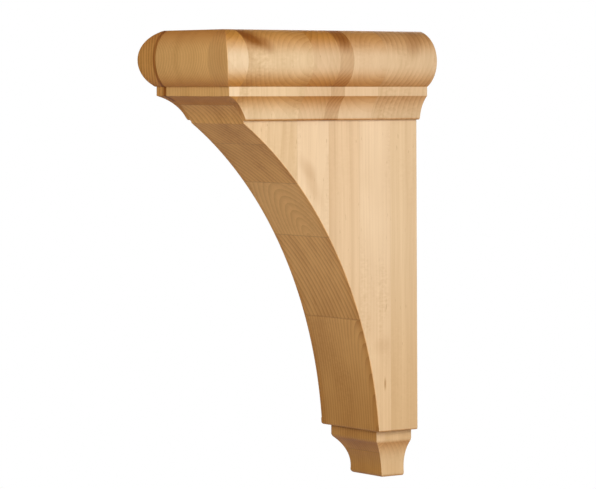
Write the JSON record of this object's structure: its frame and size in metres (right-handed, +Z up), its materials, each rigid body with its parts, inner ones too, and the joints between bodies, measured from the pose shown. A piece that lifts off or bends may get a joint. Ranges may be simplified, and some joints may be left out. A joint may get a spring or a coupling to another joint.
{
  "type": "corbel",
  "caption": "Laminated hardwood corbel with a moulded cap, a hollow swept front and a small foot, fixed by its flat back to carry a shelf or worktop.",
  "frame": {"origin": "middle of the flat back face, half way up, in the plane of the wall", "axes": "+Z up, +Y into the wall, the front towards -Y, X across"},
  "size_m": [0.1248, 0.2, 0.3556],
  "materials": {
    "maple_pale_brown": "clear satin lacquer on hard maple",
    "maple_light": "clear satin lacquer on hard maple",
    "maple_golden": "clear satin lacquer on hard maple",
    "maple_tan": "clear satin lacquer on hard maple"
  },
  "bodies": {
    "root": {"body_board_1": "maple_light", "body_board_2": "maple_golden", "body_board_3": "maple_tan", "body_board_4": "maple_pale_brown", "body_board_5": "maple_light", "body_board_6": "maple_golden", "body_board_7": "maple_tan", "left_cap_block_1": "maple_tan", "left_cap_block_2": "maple_pale_brown", "left_cap_block_3": "maple_light", "left_cap_block_4": "maple_golden", "left_cap_block_5": "maple_tan", "left_cap_block_6": "maple_pale_brown", "right_cap_block_1": "maple_tan", "right_cap_block_2": "maple_pale_brown", "right_cap_block_3": "maple_light", "right_cap_block_4": "maple_golden", "right_cap_block_5": "maple_tan", "right_cap_block_6": "maple_pale_brown"}
  },
  "joints": []
}
